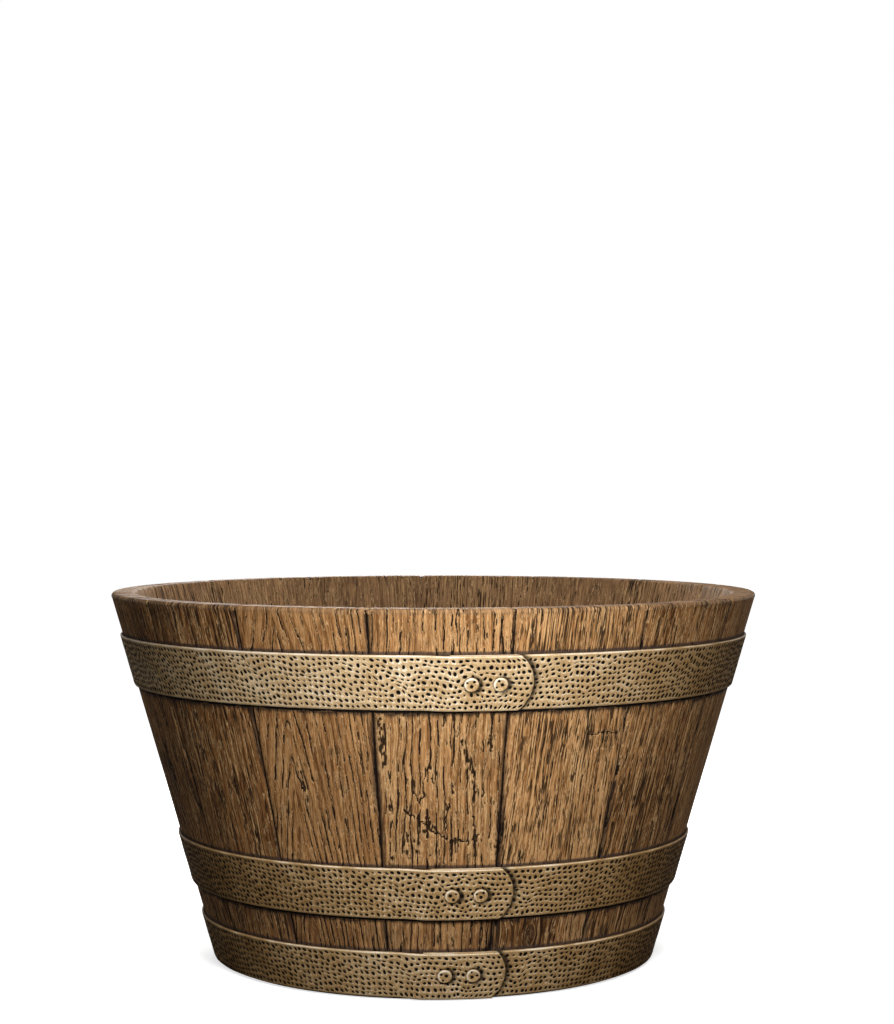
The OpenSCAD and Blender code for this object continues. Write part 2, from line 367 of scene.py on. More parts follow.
def hoop_bronze():
    """Pitted antique bronze: black pits, light edges that are partly wear and partly painted highlight, a
    mottled patina and black painted shadow.
    """
    material, shade = new_material("hoop_bronze")
    pit = shade.attribute("pit")
    edge = shade.attribute("edge")
    place = shade.attribute("strip", "Vector")
    cloud = shade.noise_at(place, (0.05, 0.05), 3.0, 0.6)
    speck = shade.noise_at(place, (1.3, 1.3), 2.0, 0.7)
    level = cloud * 0.42 + speck * 0.75 - 0.15 + edge * 0.45 + shade.attribute("tone")
    metal = level.clipped().ramp(BRONZE_STOPS)
    # Black painted shadow by the lap's end, round the rivets and along the lower edges
    grime = shade.attribute("grime")
    metal = shade.coated(metal, (pit.between(0.33, 0.52), srgb(20, 15, 11)), (grime * 0.9, srgb(26, 20, 15)))
    roughness = 0.5 - speck * 0.16 + pit * 0.4 + grime * 0.2
    finish_material(shade, metal, roughness, speck - pit * 0.5, 0.15, 0.04, metallic=0.02)
    return material


# ---- Staves ----

PROFILE_STEP = 1.4          # spacing of mesh rows up a stave's outer face
INNER_STEP = 6.0            # and down its inner face
RIM_STEP = 1.2              # and across the rim
COLUMN_STEP = 0.56          # spacing of mesh columns across a stave at the rim
OUTER, RIM, INSIDE, FOOT = range(4)     # the faces of a stave's section
# How much each of those faces has of the relief, of the V along the seams, of the cracks' black and of
# the bare grey wood
RELIEF_SHARE = (1.0, 0.55, 0.5, 0.0)
SEAM_SHARE = (1.0, 0.6, 0.35, 0.0)
CARVED_SHARE = (1.0, 0.7, 0.5, 0.7)
BARE_SHARE = (0.0, 0.75, 1.0, 1.0)


def rounded(p, to_a, to_b, r, steps=5):
    """Points of a rounded profile corner, from its first edge to its second."""
    to_a, to_b, p = np.array(to_a, float), np.array(to_b, float), np.array(p, float)
    half = math.acos(float(to_a @ to_b)) / 2
    centre = p + (to_a + to_b) / np.linalg.norm(to_a + to_b) * r / math.sin(half)
    start, end = p + to_a * r / math.tan(half) - centre, p + to_b * r / math.tan(half) - centre
    points = []
    for k in range(steps + 1):
        d = start * (steps - k) + end * k
        points.append(centre + r * d / np.linalg.norm(d))
    return points


def run(a, b, step):
    """Points from a towards b, without b, about step apart."""
    a, b = np.array(a, float), np.array(b, float)
    n = max(1, round(np.linalg.norm(b - a) / step))
    return [a + (b - a) * k / n for k in range(n)]


def stave_profile():
    """The closed section of a stave: its points, the way into the wood at each, and the face that
    each is on. The croze and all below it count as the foot."""
    foot_out = rounded((outer_r(0), 0), (-1, 0), UP_WALL, FOOT_R, 7)
    rim_out = rounded((outer_r(TUB_H), TUB_H), -UP_WALL, (-1, 0), RIM_EASE)
    rim_in = rounded((inner_r(TUB_H), TUB_H), (1, 0), -UP_WALL, RIM_EASE)
    foot_in = rounded((inner_r(0), 0), UP_WALL, (1, 0), 2.0, 3)
    croze_r = inner_r(CROZE_Z) + CROZE_DEPTH
    croze_top, croze_low = CROZE_Z + CROZE_W / 2, CROZE_Z - CROZE_W / 2
    top_in, top_out = (inner_r(croze_top), croze_top), (croze_r, croze_top)
    low_in, low_out = (inner_r(croze_low), croze_low), (croze_r, croze_low)
    points, faces = [], []

    def add(new, face):
        points.extend(new)
        faces.extend([face] * len(new))

    add(foot_out[:-1], FOOT)
    add(run(foot_out[-1], rim_out[0], PROFILE_STEP), OUTER)
    add(rim_out[:-1], RIM)
    add(run(rim_out[-1], rim_in[0], RIM_STEP), RIM)
    add(rim_in[:-1], RIM)
    add(run(rim_in[-1], top_in, INNER_STEP), INSIDE)
    add(run(top_in, top_out, CROZE_DEPTH / 2), FOOT)
    add(run(top_out, low_out, CROZE_W / 2), FOOT)
    add(run(low_out, low_in, CROZE_DEPTH / 2), FOOT)
    add(run(low_in, foot_in[0], INNER_STEP), FOOT)
    add(foot_in[:-1], FOOT)
    add(run(foot_in[-1], foot_out[0], 4.0), FOOT)
    points = np.array(points)
    around = np.roll(points, -1, 0) - np.roll(points, 1, 0)
    around /= np.linalg.norm(around, axis=1)[:, None]
    inward = np.stack([-around[:, 1], around[:, 0]], 1)
    return points, inward, np.array(faces)


# How a stave was sawn and how it weathered. pith is the middle of the tree: its place across the stave,
# its depth, and how fast the rings close up the stave. ring is the rings' spacing, wave how much they
# wander, lines and dashes how deep the grain is carved, fineness that of the streaks in its colour, open
# how strongly the fine open grain shows, and the rest are its cracks and patches of specks.
Cut = namedtuple("Cut", "pith ring wave lines dashes fineness open cracks crack_mm specks")
CUTS = {
    "arched": Cut((-20, 3, 0.12), 3.9, 1.6, 1.0, 0.15, 0.85, 0.2, 10, 0.5, 2),
    "cracked": Cut((110, 60, 0.02), 5.0, 3.2, 1.0, 0.3, 0.85, 0.3, 64, 0.8, 7),
    "straight": Cut((-150, 40, 0.02), 5.0, 1.6, 0.35, 0.28, 0.62, 1.0, 12, 0.5, 2),
    "fine": Cut((170, 90, 0.01), 4.2, 1.2, 0.4, 0.3, 0.62, 1.0, 8, 0.5, 2),
    "arched_right": Cut((16, 4, 0.11), 3.7, 2.0, 1.0, 0.35, 0.8, 0.4, 12, 0.5, 3),
}
STAVES = (
    # cut, tone (partly at random, partly painted shade: darker on the staves at the front's left and right
    # sides), knots as (across, up, size)
    ("straight", 0.06, ((-9, 51, 19),)),
    ("fine", -0.08, ()),
    ("arched_right", -0.04, ()),
    ("cracked", -0.02, ()),
    ("straight", 0.04, ((12, 205, 10),)),
    ("arched", -0.04, ()),
    ("fine", 0.03, ()),
    ("arched_right", -0.03, ((-10, 160, 9),)),
    ("cracked", 0.02, ()),
    ("straight", -0.05, ()),
    ("arched", 0.02, ()),
    ("fine", -0.14, ()),
    ("straight", -0.15, ()),
    ("arched", -0.04, ()),
    ("cracked", 0.03, ()),
)
FORKED_CRACK = (
    (-28, 157), (-19, 151), (-9, 143), (1, 136), (6, 132.5), (12, 133), (19, 132), (27, 133), (31, 138),
)
GRAIN_LOOP = ((-21, 182), (-19.5, 170), (-15.5, 163), (-12.5, 168), (-12, 190))
MARKS = {
    "stave_15": (
        (FORKED_CRACK, 0.75, 0.42),
        (((-16, 150), (-7, 147), (0, 138)), 0.7, 0.35),
        (((5, 133), (4.5, 146), (7, 162)), 0.75, 0.35),
        (((9, 132), (10, 120)), 0.9, 0.4),
        (((-8, 142), (-9, 152)), 0.7, 0.35),
        (((27, 133), (28, 118)), 0.9, 0.4),
        (((27, 133), (26, 152)), 0.75, 0.35),
        (GRAIN_LOOP, 1.0, 0.3),
    ),
    "stave_01": (
        (((17, 213), (30, 214), (44, 214)), 0.66, 0.4),
        (((19, 201), (30, 202), (43, 202)), 0.5, 0.4),
    ),
}
# Patches of fine black specks on the front stave: across, up, half width and half height
FRONT_SPECKS = (
    (18, 206, 3, 9), (21, 197, 4, 8), (24, 186, 3.5, 11), (28, 175, 3.5, 12), (33, 165, 3, 9),
    (38, 212, 4, 13), (9, 174, 3.5, 7), (5, 160, 3, 5), (-29, 233, 4, 8), (1, 228, 2.5, 9),
    (-38, 162, 3, 12), (44, 128, 2.5, 16), (45, 157, 3, 5), (-25, 155, 3, 7), (-6, 141, 5, 5),
    (-22, 127, 8, 13), (-13, 139, 5, 4), (-36, 120, 3, 10), (-20, 151, 6, 3), (-5, 142, 4, 3),
    (27, 134, 4, 6), (12, 132, 5, 3), (-45, 210, 5, 40), (-8, 190, 1.6, 14),
)
SPECK_DEPTH, FRONT_SPECK_DEPTH = 0.32, 0.43
SURFACE_INSET = 0.45        # how far the wood's mean surface lies inside the solid's, for the relief
CARVED_MM = 0.75            # depth of a line or dash, and once more for a crack
DASH_ROW_W = 2.2            # width of the rows that short dashes lie in


def carve_line(x, z, line, depth, half_width, carved):
    """Adds one crack, given as points, to the carving. The crack wanders and frays a little."""
    reach = 6.0
    for (ax, az), (bx, bz) in zip(line, line[1:]):
        length2 = (bx - ax) ** 2 + (bz - az) ** 2
        near = (x > min(ax, bx) - reach) & (x < max(ax, bx) + reach)
        near &= (z > min(az, bz) - reach) & (z < max(az, bz) + reach)
        if not near.any():
            continue
        px, pz = x[near], z[near]
        px = px + 1.2 * noise(px / 4, pz / 4, 91) + 0.7 * noise(px / 1.9, pz / 2.3, 94)
        pz = pz + 1.1 * noise(px / 4, pz / 4, 92) + 0.7 * noise(px / 1.9, pz / 2.3, 95)
        t = np.clip(((px - ax) * (bx - ax) + (pz - az) * (bz - az)) / length2, 0, 1)
        gap = np.hypot(px - ax - t * (bx - ax), pz - az - t * (bz - az))
        width = half_width + 0.2 * noise(px / 2.2, pz / 2.2, 93)
        carved[near] = np.maximum(carved[near], depth * (1 - step_up(gap, width, width + 0.6)))


def long_cracks(cut, rng, x, z, shift, seed):
    """Single longer cracks along the grain of one stave, from 0 to 1."""
    cracks = np.zeros_like(x)
    half = np.abs(x).max()
    for _ in range(cut.cracks):
        cx, cz = rng.uniform(-half, half), rng.uniform(0, TUB_H)
        long = rng.uniform(6, 44)
        width = cut.crack_mm * rng.uniform(0.45, 1.2)
        near = (np.abs(x - cx) < 9) & (np.abs(z - cz) < long / 2)
        if not near.any():
            continue
        pz = z[near]
        middle = cx + 2.0 * noise(pz / 16, np.full_like(pz, cx), seed + 7) - shift[near] * 0.6
        middle += 0.6 * noise(pz / 4.5, np.full_like(pz, cx), seed + 14)
        taper = np.sqrt(np.clip(1 - ((pz - cz) / (long / 2)) ** 2, 0, 1)) * width
        taper *= 0.75 + 0.5 * noise(x[near] / 3, pz / 5, seed + 8)
        crack_gap = np.abs(x[near] - middle)
        cracks[near] = np.maximum(cracks[near], 1 - step_up(crack_gap, taper * 0.4, taper * 1.1 + 0.05))
    return cracks


def speck_patches(cut, front, rng, x, z, shift, seed):
    """Patches of fine specks on one stave, from 0 to about 1. front says that it is the front one."""
    half = np.abs(x).max()
    patches = []
    for _ in range(cut.specks):
        at = (rng.uniform(-half, half), rng.uniform(20, TUB_H - 20))
        patches.append((*at, rng.uniform(2, 5), rng.uniform(6, 26), SPECK_DEPTH))
    if front:
        patches += [(*patch, FRONT_SPECK_DEPTH) for patch in FRONT_SPECKS]
    grains = 1 + noise(x / 1.3, z / 2.8, seed + 19)
    dots = np.zeros_like(x)
    for at_x, at_z, wide, tall, deep in patches:
        reach = ((x - at_x + shift * 0.6 + (z - at_z) * 0.12) / wide) ** 2 + ((z - at_z) / tall) ** 2
        dots = np.maximum(dots, deep * np.exp(-(reach**1.5)) * grains)
    return dots


def stave_grain(index, x, z, depth):
    """The grain and carving of one stave at places x across, z up and depth under its outer face.
    Returns the place across the log, the ring, the carving, the depth in mm and the knots."""
    kind, _, knots = STAVES[index]
    cut = CUTS[kind]
    seed = 100 + 31 * index
    rng = np.random.default_rng(seed)
    pith_x, pith_depth, closing = cut.pith
    pith_x += rng.uniform(-2, 2)
    shift = cut.wave * layered(x / 60, z / 85, seed, 3) + 0.5 * noise(x / 7, z / 18, seed + 5)
    knot_dark, knot_eye = np.zeros_like(x), np.zeros_like(x)
    for kx, kz, size in knots:
        gap = np.hypot(x - kx, (z - kz) * 0.75)
        pull = np.exp(-((gap / size) ** 2))
        shift = shift + pull * size * 0.9 * np.sign(x - kx + 0.01) * np.minimum(1, gap / size)
        knot_dark = np.maximum(knot_dark, pull)
        knot_eye = np.maximum(knot_eye, pull * (size < 15))
    px = x - pith_x + shift
    below = pith_depth - 0.6 * depth
    radius = np.sqrt(px**2 + below**2 + 1.0)
    away = 1 + (px / 35) ** 2                   # away from the pith the rings run straight up
    across = radius + closing * z / away
    # How fast the rings pass by, for lines of an even width
    steep = np.hypot(px / radius - 2 * closing * z * px / (35 * away) ** 2, closing / away)
    phase = across / cut.ring + 0.35 * noise(across / 14, z / 120, seed + 9)
    ring_number, ring_place = np.floor(phase), phase - np.floor(phase)
    ring = step_up(ring_place, 0.35, 0.92) * (1 - step_up(ring_place, 0.93, 1.0))
    fray = 0.3 * noise(x / 1.7, z / 3.1, seed + 15)
    # Lines along the rings, each broken in its own places
    broken = noise(ring_number * 5.3 + 0.5, z / 18, seed + 1)
    broken += 0.5 * noise(ring_number * 3.1, z / 6, seed + 2)
    line_at = 0.72 + 0.22 * noise(ring_number * 9.1, z / 30, seed + 17)
    line_at += 0.08 * noise(ring_number * 4.3, z / 7, seed + 18)
    line_gap = np.abs((ring_place - line_at) * cut.ring + fray) / steep
    width = 0.2 + 0.26 * noise(ring_number * 1.7, z / 9, seed + 16)
    carved = cut.lines * (1 - step_up(line_gap, width, width + 0.48)) * step_up(broken, -0.26, -0.06)
    # Short dashes in rows along the grain
    row = (across + 0.7 * noise(x / 6, z / 40, seed + 3)) / DASH_ROW_W
    row_number, row_place = np.floor(row), row - np.floor(row)
    patch = 0.75 * noise(across / 4.6, z / 170, seed + 4) + 0.2 * noise(x / 22, z / 35, seed + 20)
    dash = step_up(noise(row_number * 7.7 + 0.5, z / 6.5, seed + 6) + patch, 0.08, 0.3)
    dash_gap = np.abs((row_place - 0.5) * DASH_ROW_W + fray)
    dash *= (1 - step_up(dash_gap, 0.1, 0.62)) * step_up(steep, 0.45, 0.8)
    carved = np.maximum(carved, cut.dashes * dash)
    cracks = long_cracks(cut, rng, x, z, shift, seed)
    for line, deep, half_width in MARKS.get(f"stave_{index + 1:02d}", ()):
        carve_line(x, z, line, deep, half_width, cracks)
    front = index == len(STAVES) - 1
    carved = np.maximum(carved, speck_patches(cut, front, rng, x, z, shift, seed))
    carved = np.maximum(carved, cracks)
    relief = 0.28 * layered(across / 3.2, z / 60, seed + 10, 2) + 0.4 * layered(x / 30, z / 70, seed + 11, 2)
    relief += 0.16 * ring + 0.5 * knot_dark * (1 + noise(x / 4, z / 4, seed + 12))
    inwards = SURFACE_INSET + 0.5 * relief + CARVED_MM * carved + CARVED_MM * cracks
    knot_cut = 0.6 * step_up(knot_eye, 0.6, 0.95) * (noise(x / 2.5, z / 2.5, seed + 13) > 0.1)
    return px, ring, np.maximum(carved, knot_cut), inwards, knot_dark


def stave_dirt_and_shade(index, x, z, edge_gap, face):
    """Painted shade against the hoops' edges and beside the seams, a darkening low on the tub, and pale dust
    just over the hoops' upper edges, each from 0 to about 1."""
    # Painted shade beside the seams, patchy
    dirt = np.exp(-edge_gap / 5.0) * (0.95 + 0.35 * noise(x / 9, z / 30, 76 + index))
    # Darker towards the bottom of the tub
    dirt = np.maximum(dirt, 0.5 * step_up(-z, -98, -84))
    dust = np.zeros_like(z)
    reach = 5.6 + 1.2 * noise(x / 16 + 7 * index, z / 60, 75) + 1.6 * noise(x / 2.6 + 7 * index, z / 60, 74)
    for name, top in HOOP_TOPS.items():
        low = top - HOOP_WIDTHS.get(name, top) * math.cos(TAPER)
        # Painted shade along each hoop's upper edge, and a painted shadow under its lower edge
        dirt = np.maximum(dirt, 1.1 * np.exp(-((np.abs(z - top) / 2.9) ** 2)))
        dust = np.maximum(dust, np.exp(-(((z - top - 0.8) / 1.2) ** 2)))
        dirt = np.maximum(dirt, np.where(z < low + 1, 1.3 * np.exp(-((np.abs(low - z) / reach) ** 1.5)), 0))
    return np.where(face == OUTER, dirt, np.where(face == FOOT, 0.5, 0.25 * dirt)), dust * (face == OUTER)


def under_hoop_shadow_line(x, z, index):
    """A thin black painted shadow line against a hoop's lower edge, from 0 to 1."""
    line = np.zeros_like(z)
    for name, width in HOOP_WIDTHS.items():
        gap = HOOP_TOPS[name] - width * math.cos(TAPER) - z
        reach = 1.8 + 0.5 * noise(x / 6, z / 6, 80 + index)
        line = np.maximum(line, (1 - step_up(gap, reach, reach + 0.9)) * (gap > -1))
    return line


def seam_azimuths():
    """The azimuths of the seams in degrees, the first one once more at the end."""
    total = sum(STAVE_SHARES)
    return [FIRST_SEAM + 360 * sum(STAVE_SHARES[:k]) / total for k in range(len(STAVE_SHARES) + 1)]


def stave(index, start, end, material):
    """One stave: a closed mesh of its section, repeated across it and carved."""
    profile, inward, face = stave_profile()
    half_angle = math.radians(end - start) / 2
    n_cols = int(2 * half_angle * outer_r(TUB_H) / COLUMN_STEP)
    # The columns lie closer together towards the seams, where the V is
    even = np.linspace(-1, 1, n_cols)
    offset = (even + 0.03 * np.sin(math.pi * even)) * half_angle
    radius, height = profile[None, :, 0], profile[None, :, 1]
    x = offset[:, None] * radius + 0 * height
    z = height + 0 * x
    depth = np.clip(outer_r(z) - radius, 0, None) * math.cos(TAPER)
    face = np.broadcast_to(face, x.shape)
    fibre, ring, carved, inwards, knot = stave_grain(index, x, z, depth)
    edge_gap = half_angle * radius - np.abs(x)
    # Black in the seams, a black painted shadow under the hoops, and pale flecks beside the seams that are
    # painted glints
    seam_w = 0.3 + 0.3 * noise(x / 4, z / 9, 70 + index) + 0.2 * noise(x, z / 1.8, 71 + index)
    carved = np.maximum(carved, (1 - step_up(edge_gap, seam_w, seam_w + 0.6)) * (face <= RIM))
    carved = np.maximum(carved, under_hoop_shadow_line(x, z, index) * (face == OUTER))
    seam_glints = step_up(noise(x / 1.3, z / 2.4, 72 + index) + 0.5 * noise(x / 40, z / 26, 73 + index), 0.3, 0.5)
    by_seam = (edge_gap > 0.6) & (edge_gap < 2.2) & (face == OUTER)
    carved = np.maximum(carved, 0.26 * seam_glints * by_seam)
    v_depth = SEAM_DEPTH * np.clip(1 - edge_gap / 1.8, 0, 1) ** 1.3
    v_depth += 0.5 * np.clip(1 - edge_gap / 7, 0, 1) ** 2
    inwards = inwards * np.take(RELIEF_SHARE, face) + v_depth * np.take(SEAM_SHARE, face)
    moved_r = radius + inwards * inward[None, :, 0]
    moved_z = height + inwards * inward[None, :, 1]
    middle = math.radians((start + end) / 2)
    azimuth = middle + offset[:, None]
    points = np.stack([moved_r * np.sin(azimuth), -moved_r * np.cos(azimuth), moved_z], -1).reshape(-1, 3)
    sections = np.arange(x.size).reshape(x.shape)
    quads = ring_of_faces(sections[:-1], sections[1:])
    caps = [sections[0][::-1], sections[-1]]
    kind, tone, _ = STAVES[index]
    # The staves at the sides have coarser streaks than those at the front and back
    fineness = CUTS[kind].fineness * (0.74 + 0.26 * math.cos(middle) ** 2)
    grain = np.stack([fibre * fineness, z * fineness, np.full_like(x, 13.0 * index)], -1)
    dirt, dust = stave_dirt_and_shade(index, x, z, edge_gap, face)
    dirt = np.maximum(dirt, 0.6 * knot * (face == OUTER))
    attributes = {
        "grain": grain,
        # The carving also holds the painted shadow under the hoops and the painted glints beside the seams
        "carved": carved * np.take(CARVED_SHARE, face),
        "ring": ring,
        "dirt": dirt,
        "dust": dust,
        "bare": np.take(BARE_SHARE, face),
        "tone": tone - 0.5 * knot,
        "open": np.full(x.size, CUTS[kind].open),
    }
    name = f"stave_{index + 1:02d}"
    piece = make_mesh(name + "_carved", points, quads, [], attributes, material, caps)
    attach(piece, "root")
    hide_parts(name)


# ---- Hoops ----

LAYER_STEP = HOOP_T + LAP_FIT
RAMP_LEN = 22.0             # length of the slope where the strip rises over its own end
EDGE_R = 0.9                # round of a hoop's long edges
BORDER = EDGE_R + 0.4       # width along each long edge that has no pits
PIT_PITCH = 4.7             # spacing of the pits
PIT_R = 1.44                # radius of a pit's mouth
PIT_FLOOR = 0.74            # share of that radius that its floor has
PIT_DEPTH = 0.75
PIT_LIP = 0.06              # how far a pit's mouth stands up
PIT_SHIFT = 0.6             # how far a pit may lie from the middle of its cell
END_REACH = 25.0            # length by the strip's ends over which its points move less and less
PIT_CORNERS = np.radians([135, 90, 45, 0, -45, -90, -135, 180])
ROW_COS, ROW_SIN = 0.894, 0.447     # the rows of pits lean by 1 in 2
# How pale each hoop is at its front and back, on its left side and on its right side: the paler front and
# back are painted highlight, the darker sides painted shade
HOOP_TONES = {
    "top_hoop": (0.23, 0.18, -0.04),
    "middle_hoop": (0.13, -0.15, -0.17),
    "base_hoop": (0.18, -0.12, -0.2),
}


def hoop_tone(name, azimuth):
    """The hoop's tone: darker round the sides than at the laps and the back, painted shade, with painted
    highlight at the laps and the back.
    """
    front, left, right = HOOP_TONES[name]
    side = np.where(np.sin(azimuth) < 0, left, right)
    return front + (side - front) * np.sin(azimuth) ** 2


class Strip:
    """A hoop's strip of metal. along runs from its under end, across from its upper edge, and
    height from its inner face."""

    def __init__(self, name):
        self.top = HOOP_TOPS[name]
        self.curled = name == "base_hoop"
        half = math.acos(-math.sin(TAPER)) / 2
        to_centre = UP_WALL - (1, 0)
        self.foot_centre = (outer_r(0), 0) + to_centre / np.linalg.norm(to_centre) * FOOT_R / math.sin(half)
        flat_low = self.foot_centre[1] - FOOT_R * math.sin(TAPER)
        self.flat = (self.top - flat_low) / math.cos(TAPER) if self.curled else HOOP_WIDTHS[name]
        curl = (FOOT_R + HOOP_T) * (math.radians(CURL_END) - TAPER)
        self.width = self.flat + (curl if self.curled else 0)
        self.mid_r = outer_r(self.top - self.flat / 2 * math.cos(TAPER))
        self.turn = 2 * math.pi * self.mid_r
        self.length = self.turn + LAP_LEN
        self.start = math.radians(LAP_AZIMUTH) - self.length / self.mid_r

    def cut_back(self, across):
        """How much shorter the rounded outer end is at a place across the strip than in its middle."""
        return NOSE_R - np.sqrt(np.clip(NOSE_R**2 - (across - self.flat / 2) ** 2, 1, None))

    def rivet_at(self, k):
        """Where rivet k sits along the strip, 0 nearest to its outer end."""
        return self.length - RIVET_END - k * RIVET_PITCH

    def place(self, along, across, height):
        """Places on the strip, in mm in the frame. Near its outer end they close up into the round."""
        nose_from = self.length - 1.5 * NOSE_R
        squeeze = 1 - self.cut_back(across) / (self.length - nose_from)
        along = np.where(along > nose_from, nose_from + (along - nose_from) * squeeze, along)
        out = height + LAYER_STEP * step_up(along, self.turn - RAMP_LEN, self.turn - 1.5)
        radius = outer_r(self.top) + out * OUT_OF_WALL[0] - across * UP_WALL[0]
        level = self.top + out * OUT_OF_WALL[1] - across * UP_WALL[1]
        if self.curled:
            angle = TAPER + np.clip(across - self.flat, 0, None) / (FOOT_R + HOOP_T)
            low = across > self.flat
            radius = np.where(low, self.foot_centre[0] + (FOOT_R + out) * np.cos(angle), radius)
            level = np.where(low, self.foot_centre[1] - (FOOT_R + out) * np.sin(angle), level)
        azimuth = self.start + along / self.mid_r
        return np.stack([radius * np.sin(azimuth), -radius * np.cos(azimuth), level], -1)


class Points:
    """Points of a strip, with how much each belongs to a pit or to a light edge, partly wear and partly
    painted highlight.
    """

    def __init__(self):
        self.parts = []
        self.count = 0

    def add(self, along, across, height, pit=0.0, edge=0.0):
        """Adds points and returns their numbers, in the shape of along."""
        values = np.broadcast_arrays(along, across, height, pit, edge)
        self.parts.append(np.stack([v.ravel().astype(float) for v in values]))
        numbers = np.arange(self.count, self.count + values[0].size).reshape(values[0].shape)
        self.count += values[0].size
        return numbers

    def all(self):
        return np.concatenate(self.parts, 1)


def lean_of(azimuth):
    """Which way the pits and their rows lean, from -1 to 1: inwards from either side of the laps."""
    return np.clip(2.2 * np.sin(azimuth - 0.2), -1, 1)


def pit_row(points, strip, rng, ring, middle_s, middle_t):
    """Adds a row of pits, each inside its own ring of points. Returns their quads and their triangles."""
    n = len(ring)
    middle_s = middle_s + rng.uniform(-PIT_SHIFT, PIT_SHIFT, (n, 1))
    middle_t = middle_t + rng.uniform(-PIT_SHIFT, PIT_SHIFT, (n, 1))
    # Each pit is a little long, leans, and has a painted highlight on the lower side of its mouth
    azimuth = strip.start + middle_s / strip.mid_r
    lean = math.radians(45) * lean_of(azimuth)
    lip_highlight = 0.8 * np.clip(np.cos(PIT_CORNERS + math.radians(90) + lean), 0, 1)
    size = PIT_R * rng.uniform(0.76, 1.02, (n, 1))
    size *= np.where(rng.uniform(0, 1, (n, 1)) < 0.04, 0.5, 1.0)
    long = rng.uniform(0.98, 1.12, (n, 1))
    du, dv = np.cos(PIT_CORNERS - lean) * long, np.sin(PIT_CORNERS - lean) / long
    ds, dt = du * np.cos(lean) - dv * np.sin(lean), -du * np.sin(lean) - dv * np.cos(lean)
    deep = PIT_DEPTH * rng.uniform(0.75, 1.2, (n, 1)) * size / PIT_R
    dark = 0.45 + 0.2 * np.sin(azimuth) ** 4        # the mouths are darker at the sides
    mouth = points.add(middle_s + size * ds, middle_t + size * dt, HOOP_T + PIT_LIP, dark, lip_highlight)
    size = PIT_FLOOR * size
    floor = points.add(middle_s + size * ds, middle_t + size * dt, HOOP_T - deep * 0.8, 1.0)
    base = np.broadcast_to(points.add(middle_s, middle_t, HOOP_T - deep, 1.0), floor.shape)
    quads = np.concatenate([ring_of_faces(ring, mouth), ring_of_faces(mouth, floor)])
    return quads, np.stack([floor, base, np.roll(floor, -1, 1)], -1).reshape(-1, 3)


def strip_end(end, upper, lines, side_points, lower, inner):
    """Short faces that close the strip at its end 0 or -1. The outer one is round, so one face can't."""
    pieces = [[row[end] for row in upper] + [lines[0][end], inner[0][end]]]
    for j, sides in enumerate(side_points):
        middle = [sides[end]] if j % 2 == 0 else []
        pieces.append([lines[j][end], *middle, lines[j + 1][end], inner[j + 1][end], inner[j][end]])
    pieces.append([lines[-1][end]] + [row[end] for row in lower] + [inner[-1][end]])
    return [piece[::-1] if end == 0 else piece for piece in pieces]


